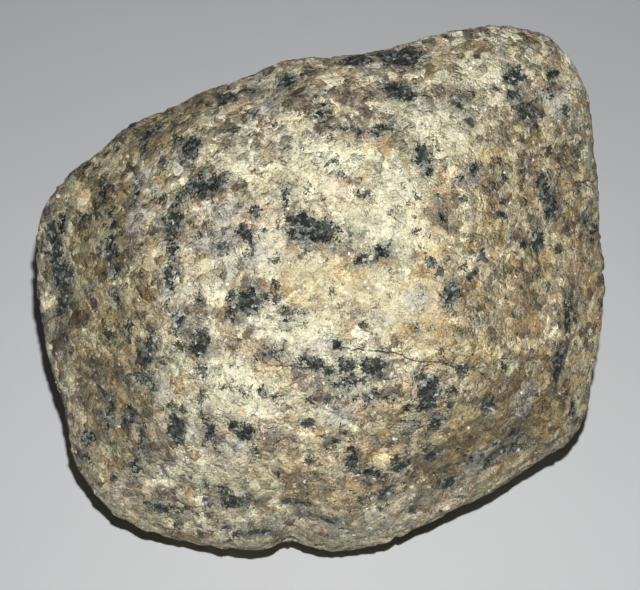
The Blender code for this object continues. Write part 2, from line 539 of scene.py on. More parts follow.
DARK_AND_SHADOW_PATCHES = [
    Patch(312, 230, 46, 22, -4), Patch(300, 222, 20, 18), Patch(385, 252, 22, 12, 30),
    Patch(366, 262, 16, 9, 25), Patch(250, 306, 25, 25), Patch(358, 130, 22, 8),
    Patch(385, 129, 26, 9, 8), Patch(250, 235, 16, 12, -30), Patch(284, 192, 9, 22),
    Patch(422, 158, 16, 28, 20), Patch(338, 343, 14, 12), Patch(312, 366, 22, 12),
    Patch(330, 372, 14, 10), Patch(352, 366, 22, 16, 10), Patch(376, 368, 22, 18, 0),
    Patch(350, 384, 26, 10, 10), Patch(370, 401, 12, 10), Patch(430, 396, 20, 34),
    Patch(436, 424, 12, 26, -10), Patch(424, 378, 14, 12), Patch(447, 293, 16, 22),
    Patch(205, 186, 42, 13, 25), Patch(216, 180, 18, 10, 20), Patch(191, 150, 20, 24),
    # Painted shadow along the left crest, in thin dark patches down to y 284.
    Patch(182, 140, 10, 22, 70), Patch(178, 222, 14, 22), Patch(175, 245, 9, 28, 5),
    Patch(166, 284, 10, 26, -5), Patch(172, 262, 7, 40, -8), Patch(170, 236, 7, 34, 10),
    Patch(181, 204, 8, 22, -20), Patch(285, 82, 18, 12), Patch(225, 98, 20, 12, 20),
    Patch(252, 90, 12, 8, 20), Patch(358, 62, 30, 18, 8), Patch(400, 58, 40, 26, 12),
    Patch(400, 92, 28, 18, -10), Patch(320, 118, 12, 8), Patch(514, 78, 22, 22), Patch(512, 96, 14, 16),
    Patch(525, 114, 32, 14, -25), Patch(550, 76, 10, 14), Patch(547, 92, 7, 8), Patch(458, 106, 10, 10),
    Patch(470, 120, 8, 9), Patch(475, 168, 8, 7), Patch(546, 190, 16, 30, 10), Patch(552, 208, 16, 16),
    Patch(538, 240, 14, 22), Patch(588, 218, 9, 20), Patch(447, 218, 10, 8, -30),
    Patch(567, 318, 9, 34), Patch(556, 368, 16, 36), Patch(573, 405, 6, 14), Patch(102, 193, 9, 30),
    Patch(136, 190, 10, 22), Patch(110, 250, 14, 26), Patch(113, 272, 10, 10),
    Patch(54, 250, 18, 60, 10), Patch(66, 300, 16, 44, -10), Patch(60, 275, 16, 30),
    Patch(115, 295, 14, 12), Patch(178, 322, 12, 20), Patch(150, 352, 9, 32, -10),
    Patch(140, 378, 28, 9, 0), Patch(126, 325, 6, 10), Patch(203, 343, 18, 26), Patch(108, 410, 7, 28),
    Patch(133, 418, 22, 8, 30), Patch(143, 436, 9, 26, -5), Patch(176, 432, 18, 36),
    Patch(211, 432, 9, 32, 12), Patch(246, 432, 14, 20), Patch(90, 437, 20, 12),
    Patch(135, 472, 10, 32), Patch(168, 508, 46, 9, -10), Patch(232, 503, 34, 10, 5),
    Patch(225, 489, 12, 8), Patch(257, 530, 24, 7), Patch(335, 446, 18, 7, 10), Patch(350, 457, 10, 18),
    Patch(368, 471, 22, 10, -10), Patch(405, 466, 18, 15, 20), Patch(432, 456, 14, 12),
    Patch(452, 484, 18, 10, 20), Patch(388, 494, 18, 20), Patch(490, 405, 11, 18),
    Patch(512, 436, 14, 12), Patch(150, 132, 22, 10, 35), Patch(62, 226, 10, 18), Patch(288, 307, 5, 4),
    Patch(294, 312, 6, 4), Patch(300, 317, 5, 4), Patch(289, 319, 4, 4), Patch(91, 292, 5, 7),
    Patch(490, 463, 16, 5, 45), Patch(512, 449, 32, 5, 12), Patch(272, 352, 16, 8),
    Patch(300, 505, 16, 8), Patch(330, 520, 18, 7), Patch(470, 460, 12, 8),
]

SMOKY_PATCHES = [
    Patch(232, 236, 30, 24), Patch(190, 320, 26, 40), Patch(205, 350, 40, 20), Patch(225, 325, 26, 20),
    Patch(352, 310, 30, 16), Patch(350, 250, 30, 20), Patch(330, 395, 40, 26), Patch(500, 385, 30, 26),
    Patch(500, 130, 30, 40), Patch(460, 95, 40, 26), Patch(440, 215, 30, 30), Patch(460, 300, 40, 30),
    Patch(520, 290, 36, 40), Patch(300, 100, 40, 24), Patch(225, 130, 36, 26), Patch(275, 440, 40, 30),
    Patch(300, 480, 40, 22), Patch(430, 500, 50, 20, 20), Patch(470, 435, 46, 22, 20),
    Patch(530, 420, 40, 30), Patch(130, 240, 24, 40), Patch(90, 380, 26, 60, -15),
    Patch(160, 460, 30, 30), Patch(480, 180, 40, 24), Patch(570, 160, 24, 40), Patch(580, 250, 20, 40),
    Patch(400, 440, 36, 18), Patch(560, 130, 26, 40), Patch(265, 290, 20, 18), Patch(380, 95, 40, 12),
]

OCHRE_PATCHES = [
    Patch(428, 325, 40, 26), Patch(455, 330, 26, 20), Patch(90, 246, 14, 34), Patch(104, 320, 14, 40),
    Patch(135, 340, 14, 30), Patch(345, 492, 90, 26, 5), Patch(590, 280, 22, 70),
    Patch(545, 60, 30, 16, -40), Patch(545, 265, 20, 30), Patch(282, 290, 18, 10, -20),
    Patch(540, 420, 50, 26, 30), Patch(80, 190, 20, 20), Patch(310, 270, 24, 12),
    Patch(500, 470, 70, 18, 30), Patch(370, 470, 40, 20), Patch(255, 470, 40, 16),
    Patch(440, 250, 20, 26), Patch(495, 230, 26, 30), Patch(385, 415, 40, 16), Patch(480, 350, 40, 20),
    Patch(520, 180, 26, 16), Patch(575, 182, 38, 7, -4), Patch(450, 60, 40, 12, 10),
    Patch(200, 270, 20, 30),
]

# Pale feldspar; the two small patches at (382, 203) and (470, 176) are painted glints from the lamp.
PALE_AND_GLINT_PATCHES = [
    Patch(382, 300, 100, 44, -4), Patch(197, 425, 16, 46), Patch(255, 400, 50, 36),
    Patch(255, 455, 24, 14), Patch(382, 203, 16, 14), Patch(470, 176, 12, 14), Patch(270, 250, 40, 50),
    Patch(330, 160, 80, 40), Patch(400, 190, 70, 40), Patch(581, 374, 30, 58), Patch(498, 95, 14, 76),
    Patch(300, 330, 60, 24), Patch(430, 130, 40, 30), Patch(350, 215, 50, 20), Patch(240, 160, 40, 40),
    Patch(320, 420, 50, 22), Patch(430, 235, 24, 40), Patch(395, 225, 60, 50), Patch(310, 195, 60, 26),
    Patch(452, 145, 60, 50), Patch(312, 275, 40, 36), Patch(222, 385, 60, 60), Patch(240, 470, 80, 50),
    Patch(460, 80, 60, 20, 8), Patch(150, 470, 24, 40),
]

# Painted shade with a brown dirty tint: darker colour where the stone's sides turn away from the lamp.
DIRT_AND_SHADE_PATCHES = [
    Patch(510, 425, 190, 90, 32), Patch(105, 300, 110, 320, 4), Patch(150, 130, 170, 50, 38),
]

QUARTZ_PATCHES = [
    Patch(525, 398, 28, 38, -20), Patch(225, 214, 34, 22, 20), Patch(214, 240, 46, 22, 10),
    Patch(138, 220, 24, 44), Patch(187, 165, 24, 22), Patch(258, 254, 26, 22),
    Patch(477, 459, 34, 26, 20), Patch(196, 430, 14, 20), Patch(470, 176, 20, 22),
    Patch(268, 108, 30, 18, 10), Patch(340, 415, 34, 20), Patch(232, 447, 26, 24),
    Patch(560, 110, 18, 34), Patch(418, 300, 26, 18), Patch(330, 346, 40, 14), Patch(160, 390, 20, 34),
]

WARM_PATCHES = [
    Patch(520, 290, 230, 330), Patch(400, 450, 300, 110, 14), Patch(335, 290, 90, 50),
]

PATCHES = {
    Mineral.DARK: DARK_AND_SHADOW_PATCHES, Mineral.SMOKY: SMOKY_PATCHES, Mineral.OCHRE: OCHRE_PATCHES,
    Mineral.PALE: PALE_AND_GLINT_PATCHES, Mineral.SHADED: DIRT_AND_SHADE_PATCHES, Mineral.QUARTZ: QUARTZ_PATCHES,
    Mineral.WARM: WARM_PATCHES,
}


@dataclass(frozen=True)
class Fracture:
    """A hairline break, whose upper side stands a step higher.

    The eye sees it at V = rise + slope U + bend U^2, open from U = start to
    U = stop.
    """

    name: str
    rise: float
    slope: float
    bend: float
    start: float
    stop: float
    step: float


FRACTURES = [
    Fracture("upper_fracture", -7.30, -0.02, -0.0072, 0.6, 22.5, 0.24),
    Fracture("lower_fracture", -9.75, 0.03, 0.0120, -7.2, 3.4, 0.10),
    Fracture("corner_fracture", -48.4, 2.05, -0.0360, 20.2, 27.2, 0.30),
    Fracture("right_fracture", 9.5, 0.12, 0.0, 29.6, 36.5, 0.18),
]


@dataclass
class Pebble:
    """The stone: its fine surface, with what each point is made of, and where shade, shadow and glints
    are painted, kept as attributes.

    A layer is its pitch in millimetres, then its height in millimetres or,
    for crystals, its slope.
    """

    name: str = "pebble_stone"
    node: str = "pebble"
    slot: str = "granite"
    squares: int = 126
    outline: Outline = field(default_factory=lambda: Outline(OUTLINE))
    roughness_layers: tuple[Span, ...] = ((7.0, 0.22), (3.2, 0.17), (1.5, 0.09))
    crystal_layers: tuple[Span, ...] = ((2.6, 0.11), (1.5, 0.11))
    warp_layers: tuple[Span, ...] = ((3.4, 0.55), (1.4, 0.35))
    warp_seed: int = 11
    roughness_seed: int = 41
    crystal_seed: int = 51
    patch_depth: float = 2.2
    placed_facing: float = 0.05
    out_of_sight: float = 99.0
    strewn_patches: int = 210
    strewn_seed: int = 31
    strewn_facing: float = 0.02
    strewn_smallest: tuple[float, float, float] = (1.2, 0.7, 0.6)
    strewn_largest: tuple[float, float, float] = (3.0, 1.4, 1.2)
    pale_smoothing: float = 0.45
    pale_margin: float = 1.2
    dark_depth: float = 0.16
    dark_margin: Span = (-0.2, 0.5)
    break_ramp: float = 0.9
    break_depth: float = 0.25
    break_half_width: float = 0.35
    break_wobbles: tuple[tuple[float, float, int], ...] = ((3.0, 0.45, 71), (1.2, 0.2, 72))
    break_start_fade: float = 2.0
    break_stop_fade: float = 2.5
    break_facing: float = 0.15

    def base_points(self, direction: Array) -> Array:
        """Place the worn block's surface in each direction, in sight millimetres.

        Args:
            direction: unit vectors in sight axes.

        Returns:
            One point for each direction.
        """
        block = Block(self.outline, FACETS, WAVES)
        points = direction * block.radius(direction)[:, None]
        turn = np.arctan2(direction[:, 1], direction[:, 0])
        lift = np.arcsin(np.clip(direction[:, 2], -1.0, 1.0))
        points[:, :2] *= Rim(block).factor(turn, lift)[:, None]
        depth = sum(dent.depth_at(points) for dent in DENTS)
        return points - direction * depth[:, None]

    def warped(self, points: Array) -> Array:
        """Shift points by soft noise, so that what is measured from them gets ragged edges.

        Args:
            points: the surface, in sight millimetres.

        Returns:
            The shifted points.
        """
        shift = np.zeros_like(points)
        for layer, (pitch, height) in enumerate(self.warp_layers):
            for axis in range(3):
                seed = self.warp_seed + 3 * layer + axis
                shift[:, axis] += height * lattice_noise(points, pitch, seed)
        return points + shift

    def placed_reach(self, patches: list[Patch], points: Array, warped: Array, facing: Array) -> Array:
        """Measure how far inside the listed patches each point lies, in millimetres.

        A patch is a ball stretched to the patch's length and width and, by
        its depth, along the line of sight. Its centre is where the eye sees
        the stone's surface at the patch's middle.

        Args:
            patches: the patches, as the picture shows them.
            points: the surface.
            warped: the surface with ragged noise.
            facing: how squarely each point faces the eye.

        Returns:
            Distance inside the nearest patch, negative outside.
        """
        seen = SIGHT.picture(points)
        reach = np.full(len(points), FAR_OUTSIDE)
        hidden = np.where(facing > self.placed_facing, 0.0, self.out_of_sight)
        for patch in patches:
            spot = np.array([patch.x - CENTRE_PIXEL[0], CENTRE_PIXEL[1] - patch.y]) / PIXELS_PER_MM
            off = np.hypot(*(seen - spot).T) + hidden
            centre = points[off.argmin()]
            turn = np.radians(patch.turn)
            right, up, near = (warped - centre).T
            half_long, half_wide = patch.long / 2.0 / PIXELS_PER_MM, patch.wide / 2.0 / PIXELS_PER_MM
            along = (right * np.cos(turn) + up * np.sin(turn)) / half_long
            across = (up * np.cos(turn) - right * np.sin(turn)) / half_wide
            deep = near / (self.patch_depth * max(half_long, half_wide))
            size = min(half_long, half_wide)
            reach = np.maximum(reach, (1.0 - np.sqrt(along**2 + across**2 + deep**2)) * size)
        return reach

    def strewn_reach(self, points: Array, warped: Array, facing: Array) -> Array:
        """Strew dark grains of seeded size and heading over what the eye doesn't see.

        Args:
            points: the surface.
            warped: the surface with ragged noise.
            facing: how squarely each point faces the eye.

        Returns:
            Distance inside the nearest grain in millimetres, negative outside.
        """
        rng = np.random.default_rng(self.strewn_seed)
        hidden = np.flatnonzero(facing < self.strewn_facing)
        reach = np.full(len(points), FAR_OUTSIDE)
        for centre in points[rng.choice(hidden, self.strewn_patches, replace=False)]:
            heading = np.linalg.qr(rng.normal(size=(3, 3)))[0]
            halves = rng.uniform(self.strewn_smallest, self.strewn_largest)
            stretch = (warped - centre) @ heading / halves
            reach = np.maximum(reach, (1.0 - np.linalg.norm(stretch, axis=1)) * halves[1])
        return reach

    def roughened(
        self, points: Array, normals: Array, reach: dict[Mineral, Array], breaks: dict[str, tuple]
    ) -> Array:
        """Raise and sink the surface: weathered roughness, sunk dark grains, broken steps.

        Args:
            points: the surface, in sight millimetres.
            normals: its unit normals.
            reach: for each mineral, how far inside its patches each point lies.
            breaks: for each hairline break, the height above it and how far it is open.

        Returns:
            The roughened points.
        """
        height = np.zeros(len(points))
        for layer, (pitch, amount) in enumerate(self.roughness_layers):
            height += amount * lattice_noise(points, pitch, self.roughness_seed + layer)
        warped = self.warped(points)
        for layer, (pitch, slope) in enumerate(self.crystal_layers):
            height += crystal_height(warped, pitch, slope, self.crystal_seed + layer)
        smooth = cubic_step(0.0, self.pale_margin, reach[Mineral.PALE])
        height *= 1.0 - self.pale_smoothing * smooth
        height -= self.dark_depth * cubic_step(*self.dark_margin, reach[Mineral.DARK])
        for fracture in FRACTURES:
            offset, gap = breaks[fracture.name]
            side = cubic_step(-self.break_ramp, self.break_ramp, offset) - 0.5
            height += fracture.step * gap * side
            height -= self.break_depth * gap * np.exp(-((offset / self.break_half_width) ** 2))
        return points + normals * height[:, None]

    def fracture_reach(self, fracture: Fracture, points: Array, facing: Array) -> tuple[Array, Array]:
        """Measure a hairline break: the height above it in millimetres, and how far it is open.

        Args:
            fracture: the break.
            points: the surface.
            facing: how squarely each point faces the eye.

        Returns:
            For each point its height above the break, and the opening from 0 to 1.
        """
        seen = SIGHT.picture(points)
        u, v = seen.T
        offset = v - (fracture.rise + fracture.slope * u + fracture.bend * u**2)
        for pitch, amount, seed in self.break_wobbles:
            offset += amount * lattice_noise(points, pitch, seed)
        inside = cubic_step(fracture.start, fracture.start + self.break_start_fade, u)
        inside *= 1.0 - cubic_step(fracture.stop - self.break_stop_fade, fracture.stop, u)
        return offset, inside * cubic_step(0.0, self.break_facing, facing)

    def build(self) -> bpy.types.Object:
        """Make the mesh and its attributes.

        Returns:
            The stone's object, at the origin, in metres.
        """
        grid = CubeGrid(self.squares)
        corners, quads = grid.lattice()
        points = self.base_points(grid.directions(corners))
        normals = point_normals(points, quads)
        eye = np.array([0.0, 0.0, SIGHT.distance]) - points
        facing = (normals * eye).sum(axis=1) / np.linalg.norm(eye, axis=1)
        warped = self.warped(points)
        reach = {
            mineral: self.placed_reach(patches, points, warped, facing)
            for mineral, patches in PATCHES.items()
        }
        strewn = self.strewn_reach(points, warped, facing)
        reach[Mineral.DARK] = np.maximum(reach[Mineral.DARK], strewn)
        breaks = {each.name: self.fracture_reach(each, points, facing) for each in FRACTURES}
        standing = SIGHT.to_world(self.roughened(points, normals, reach, breaks))
        standing[:, 2] = np.maximum(standing[:, 2], 0.0)
        stone = mesh_object(self.name, standing * METRES_PER_MM, quads)
        stone.data.shade_smooth()
        for mineral in Mineral:
            self.store(stone, mineral.value, reach[mineral])
        for name, (offset, gap) in breaks.items():
            self.store(stone, name, offset)
            self.store(stone, f"{name}_gap", gap)
        return stone

    def store(self, stone: bpy.types.Object, name: str, values: Array) -> None:
        """Keep one number for each point as an attribute."""
        attribute = stone.data.attributes.new(name, "FLOAT", "POINT")
        attribute.data.foreach_set("value", values.astype(np.float32))

    def fix(self, stone: bpy.types.Object, finish: "GraniteFinish") -> None:
        """Dress the stone and say what it stands for in the frame.

        Args:
            stone: the stone's object.
            finish: its finish.
        """
        stone.data.materials.append(finish.material())
        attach(stone, "root")
        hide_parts(self.node)


@dataclass(frozen=True)
class Cloud:
    """Soft noise: its scale for each unit of the place, its layers, and how strong fine ones are."""

    scale: Value
    layers: float = 3.0
    fineness: float = 0.55


class Sketch:
    """A node tree that is being drawn, with short ways to add and join its nodes."""

    def __init__(self, tree: bpy.types.NodeTree) -> None:
        """Start on an empty tree."""
        self.tree = tree

    def add(self, kind: str, inputs: dict | None = None, **settings: object) -> bpy.types.Node:
        """Add a node.

        Args:
            kind: the node's Blender type.
            inputs: socket name or number to a value, or to a socket to join it to.
            settings: the node's own properties.

        Returns:
            The new node.
        """
        node = self.tree.nodes.new(kind)
        for name, value in settings.items():
            setattr(node, name, value)
        for name, value in (inputs or {}).items():
            self.feed(node.inputs[name], value)
        return node

    def feed(self, socket: Socket, value: Value) -> None:
        """Join a socket to another, or set its value.

        Args:
            socket: the socket that is fed.
            value: another socket, or a plain value.
        """
        if isinstance(value, bpy.types.NodeSocket):
            self.tree.links.new(value, socket)
        else:
            socket.default_value = value

    def use(self, group: bpy.types.NodeTree, inputs: dict) -> bpy.types.Node:
        """Place a node group with its own values."""
        return self.add("ShaderNodeGroup", inputs, node_tree=group)

    def math(self, operation: str, first: Value, second: Value = 0.0) -> Socket:
        """Work out one number from two."""
        return self.add("ShaderNodeMath", {0: first, 1: second}, operation=operation).outputs[0]

    def vector(self, operation: str, inputs: dict) -> Socket:
        """Work out one vector."""
        return self.add("ShaderNodeVectorMath", inputs, operation=operation).outputs[0]

    def dot(self, first: Value, second: Value) -> Socket:
        """Multiply two vectors into one number."""
        node = self.add("ShaderNodeVectorMath", {0: first, 1: second}, operation="DOT_PRODUCT")
        return node.outputs["Value"]

    def times(self, *parts: Value) -> Socket:
        """Multiply numbers together.

        Args:
            parts: two or more numbers.

        Returns:
            Their product.
        """
        total = parts[0]
        for part in parts[1:]:
            total = self.math("MULTIPLY", total, part)
        return total

    def plus(self, *parts: Value) -> Socket:
        """Add numbers together.

        Args:
            parts: two or more numbers.

        Returns:
            Their sum.
        """
        total = parts[0]
        for part in parts[1:]:
            total = self.math("ADD", total, part)
        return total

    def centred(self, value: Value, amount: Value) -> Socket:
        """Turn a number around a half into one around none, of a given amount."""
        return self.math("MULTIPLY", self.math("SUBTRACT", value, 0.5), amount)

    def mix(self, share: Value, first: Value, second: Value, blend: str = "MIX") -> Socket:
        """Mix two colours by a share from 0 to 1.

        Args:
            share: how much of the second colour there is.
            first: the colour at 0.
            second: the colour at 1.
            blend: how Blender joins them.

        Returns:
            The mixed colour.
        """
        node = self.add("ShaderNodeMix", data_type="RGBA", blend_type=blend)
        self.feed(node.inputs[0], share)
        for number, value in ((6, first), (7, second)):
            self.feed(node.inputs[number], (*value, 1.0) if isinstance(value, tuple) else value)
        return node.outputs[2]

    def step(self, value: Value, low: Value, high: Value) -> Socket:
        """Rise smoothly from 0 at low to 1 at high."""
        inputs = {"Value": value, "From Min": low, "From Max": high}
        return self.add("ShaderNodeMapRange", inputs, interpolation_type="SMOOTHSTEP").outputs[0]

    def noise(self, place: Socket, cloud: Cloud, output: str = "Fac") -> Socket:
        """Give soft noise around a half, as one number or as a colour."""
        inputs = {
            "Vector": place, "Scale": cloud.scale,
            "Detail": cloud.layers, "Roughness": cloud.fineness,
        }
        return self.add("ShaderNodeTexNoise", inputs).outputs[output]

    def attribute(self, name: str) -> Socket:
        """Read one number that the mesh keeps for each point."""
        return self.add("ShaderNodeAttribute", attribute_name=name).outputs["Fac"]

    def ramp(self, value: Socket, stops: Sequence[tuple], hard: bool = False) -> Socket:
        """Turn a number into a colour by stops, blended or in hard steps.

        Args:
            value: the number.
            stops: a number and its colour at each stop, from the lowest.
            hard: whether a stop's colour lasts until the next stop.

        Returns:
            The colour.
        """
        node = self.add("ShaderNodeValToRGB", {0: value})
        band = node.color_ramp
        band.interpolation = "CONSTANT" if hard else "LINEAR"
        while len(band.elements) < len(stops):
            band.elements.new(1.0)
        for element, (place, colour) in zip(band.elements, stops):
            element.position = place
            element.color = (*colour, 1.0)
        return node.outputs["Color"]


def new_group(name: str, inputs: dict[str, str], outputs: dict[str, str]) -> bpy.types.NodeTree:
    """Make an empty shader node group with named sockets.

    Args:
        name: the group's name.
        inputs: socket name to Float, Vector or Color.
        outputs: the same, for what it puts out.

    Returns:
        The group, with its input and output nodes in place.
    """
    tree = bpy.data.node_groups.new(name, "ShaderNodeTree")
    for direction, sockets in (("INPUT", inputs), ("OUTPUT", outputs)):
        for socket, kind in sockets.items():
            tree.interface.new_socket(socket, in_out=direction, socket_type=f"NodeSocket{kind}")
    tree.nodes.new("NodeGroupInput")
    tree.nodes.new("NodeGroupOutput")
    return tree


def shifted_place(sketch: Sketch, place: Socket, scale: Value, amount: Value) -> Socket:
    """Shift a place by soft noise in all three directions.

    Args:
        sketch: the tree that is drawn.
        place: the place.
        scale: the noise's scale.
        amount: how far the place strays.

    Returns:
        The shifted place.
    """
    noise = sketch.noise(place, Cloud(scale, GRAIN_LAYERS, GRAIN_FINENESS), "Color")
    centred = sketch.vector("SUBTRACT", {0: noise, 1: MIDDLE})
    shift = sketch.vector("SCALE", {0: centred, "Scale": amount})
    return sketch.vector("ADD", {0: place, 1: shift})


def ragged_group() -> bpy.types.NodeTree:
    """Make the group that turns a reach in millimetres into a mask with a ragged edge.

    Returns:
        The group, which puts out Mask.
    """
    names = ("Reach", "Scale", "Raggedness", "Fray", "Softness")
    sockets = {"Place": "Vector", **{name: "Float" for name in names}}
    tree = new_group("ragged_edge", sockets, {"Mask": "Float"})
    sketch = Sketch(tree)
    given = tree.nodes["Group Input"].outputs
    coarse = sketch.noise(given["Place"], Cloud(given["Scale"], EDGE_LAYERS, EDGE_FINENESS))
    fine_scale = sketch.math("MULTIPLY", given["Scale"], FRAY_SCALE)
    fine = sketch.noise(given["Place"], Cloud(fine_scale, EDGE_LAYERS, EDGE_FINENESS))
    shift = sketch.centred(coarse, given["Raggedness"])
    fray = sketch.centred(fine, given["Fray"])
    edge = sketch.math("DIVIDE", sketch.plus(given["Reach"], shift, fray), given["Softness"])
    sketch.feed(tree.nodes["Group Output"].inputs["Mask"], sketch.step(edge, -1.0, 1.0))
    return tree


def grain_group() -> bpy.types.NodeTree:
    """Make the group that parts the stone into frayed crystal grains with random numbers.

    Returns:
        The group, which puts out Pick, Shade, Edge and Facet.
    """
    sockets = {"Place": "Vector", "Scale": "Float", "Warp": "Float", "Fray": "Float"}
    outputs = {"Pick": "Float", "Shade": "Float", "Edge": "Float", "Facet": "Float"}
    tree = new_group("crystal_grains", sockets, outputs)
    sketch = Sketch(tree)
    given = tree.nodes["Group Input"].outputs
    place = shifted_place(sketch, given["Place"], given["Scale"], given["Warp"])
    place = shifted_place(sketch, place, GRAIN_FRAY_SCALE, given["Fray"])
    inputs = {"Vector": place, "Scale": given["Scale"]}
    cells = sketch.add("ShaderNodeTexVoronoi", inputs)
    parts = sketch.add("ShaderNodeSeparateColor", {0: cells.outputs["Color"]})
    edge = sketch.add("ShaderNodeTexVoronoi", inputs, feature="DISTANCE_TO_EDGE").outputs["Distance"]
    slope = sketch.vector("SUBTRACT", {0: cells.outputs["Color"], 1: MIDDLE})
    reach = sketch.vector("SUBTRACT", {0: place, 1: cells.outputs["Position"]})
    result = tree.nodes["Group Output"].inputs
    sketch.feed(result["Pick"], parts.outputs[0])
    sketch.feed(result["Shade"], parts.outputs[1])
    sketch.feed(result["Edge"], edge)
    sketch.feed(result["Facet"], sketch.dot(reach, slope))
    return tree


@dataclass
class Effects:
    """The node groups that the finish shares out, each built once."""

    ragged: bpy.types.NodeTree = field(default_factory=ragged_group)
    grains: bpy.types.NodeTree = field(default_factory=grain_group)


@dataclass(frozen=True)
class MaskEdge:
    """How a mineral's patches end: noise scale per millimetre, then amounts in millimetres."""

    scale: float
    raggedness: float
    fray: float
    softness: float


@dataclass(frozen=True)
class Mosaic:
    """A mosaic of crystal grains: its scale per millimetre, then how far cells and edges stray."""

    scale: float
    warp: float
    fray: float


@dataclass(frozen=True)
class Flecks:
    """Rare dark cells of a mosaic: the pick above which a cell is dark, and how dark it is."""

    mosaic: Mosaic
    pick: float
    strength: float


def grey(tone: float) -> Colour:
    """Give a neutral colour, to darken or lighten another by."""
    return (tone, tone, tone)


@dataclass(frozen=True)
class GraniteFinish:
    """Weathered granite: cream and grey feldspar, smoky quartz, dark grains and rust stains, with
    painted shade, a painted crest shadow and painted glints.
    """

    effects: Effects

    cream: Colour = (0.86, 0.77, 0.49)
    ivory: Colour = (0.89, 0.84, 0.62)
    green_grey: Colour = (0.60, 0.61, 0.42)
    cool_grey: Colour = (0.58, 0.55, 0.43)
    rose: Colour = (0.82, 0.66, 0.46)
    tan: Colour = (0.54, 0.41, 0.22)
    smoky: Colour = (0.24, 0.19, 0.145)
    pale: Colour = (0.77, 0.745, 0.53)
    quartz: Colour = (0.50, 0.475, 0.43)
    ochre: Colour = (0.52, 0.37, 0.17)
    rust: Colour = (0.42, 0.29, 0.13)
    warm: Colour = (0.99, 0.90, 0.75)
    # Painted shade with a brown dirty tint, multiplied in where the sides turn from the lamp.
    dirt_and_shade: Colour = (0.57, 0.52, 0.38)
    halo: Colour = (0.20, 0.20, 0.17)
    dark: Colour = (0.020, 0.024, 0.020)
    dark_green: Colour = (0.062, 0.072, 0.060)
    dark_grey: Colour = (0.17, 0.18, 0.165)
    dark_light: Colour = (0.38, 0.40, 0.36)
    # Painted glints: white points that stand in for the lamp's sparkle.
    painted_glint: Colour = (0.95, 0.94, 0.90)
    crevice: Colour = (0.06, 0.050, 0.038)

    grain_stretch: float = 0.50
    large_grains: Mosaic = Mosaic(0.38, 1.8, 0.45)
    small_grains: Mosaic = Mosaic(0.82, 1.0, 0.4)
    tiny_grains: Mosaic = Mosaic(2.4, 0.5, 0.2)
    ground_grains: Mosaic = Mosaic(0.52, 2.4, 1.4)
    brown_grains: Mosaic = Mosaic(0.62, 1.8, 0.8)
    painted_glint_grains: Mosaic = Mosaic(3.2, 0.3, 0.2)
    glassy_grains: Mosaic = Mosaic(1.7, 0.4, 0.4)
    dark_specks: Mosaic = Mosaic(2.1, 0.8, 0.5)
    flecks: tuple[Flecks, ...] = (
        Flecks(Mosaic(0.80, 1.2, 1.6), 0.902, 0.95), Flecks(Mosaic(1.7, 1.2, 1.6), 0.912, 0.8),
    )
    fleck_edge: Span = (0.04, 0.12)
    pick_blend: float = 0.02

    edges: dict[Mineral, MaskEdge] = field(default_factory=lambda: {
        Mineral.DARK: MaskEdge(1.1, 2.4, 2.2, 0.13),
        Mineral.SMOKY: MaskEdge(1.1, 4.4, 3.0, 0.40),
        Mineral.OCHRE: MaskEdge(0.7, 4.0, 2.0, 1.0),
        Mineral.PALE: MaskEdge(0.9, 3.0, 2.0, 0.7),
        Mineral.SHADED: MaskEdge(0.5, 4.0, 1.5, 2.2),
        Mineral.QUARTZ: MaskEdge(1.0, 2.4, 2.0, 0.30),
        Mineral.WARM: MaskEdge(0.5, 5.0, 1.5, 2.6),
    })
    strengths: dict[Mineral, float] = field(default_factory=lambda: {
        Mineral.PALE: 0.60, Mineral.SMOKY: 0.54, Mineral.WARM: 0.55, Mineral.SHADED: 0.80,
        Mineral.OCHRE: 0.32, Mineral.QUARTZ: 0.62,
    })
    rust_strength: float = 0.45
    rust_pick: Span = (0.68, 0.74)

    halo_edge: MaskEdge = MaskEdge(1.4, 3.4, 4.0, 0.35)
    halo_reach: float = 0.45
    halo_strength: float = 0.50
    speck_noise: Cloud = Cloud(4.2, 5.0, 0.75)
    speck_tones: tuple = ((0.36, grey(0.4)), (0.66, grey(1.9)))

    break_width: Span = (0.16, 0.06)
    break_wobble: float = 0.5
    break_wobble_noise: Cloud = Cloud(2.2)
    break_gap_noise: Cloud = Cloud(0.9)
    break_gaps: Span = (0.32, 0.44)
    break_strength: float = 0.9

    ground_edge: Span = (0.15, 0.03)
    ground_fray: float = 0.7
    ground_fray_noise: Cloud = Cloud(1.7, 4.0, 0.7)
    ground_patch_noise: Cloud = Cloud(0.35, 2.0)
    ground_patches: Span = (0.36, 0.56)
    ground_strength: float = 0.75

    small_share_noise: Cloud = Cloud(0.8, 4.0, 0.6)
    small_share: Span = (0.47, 0.57)
    shade_tones: tuple = ((0.0, grey(0.80)), (1.0, grey(1.12)))
    swell_noise: Cloud = Cloud(0.27, 2.0)
    swell_tones: tuple = ((0.34, (0.76, 0.75, 0.73)), (0.62, grey(1.05)))
    # Seams between the small grains: dirt in the joints, and painted shade in the sunk gaps.
    seam_edge: Span = (0.07, 0.0)
    seam_fray: float = 0.12
    seam_fray_noise: Cloud = Cloud(2.8)
    seam_patch_noise: Cloud = Cloud(1.2)
    seam_patches: Span = (0.40, 0.56)
    seam_dirt_and_shade: float = 0.36

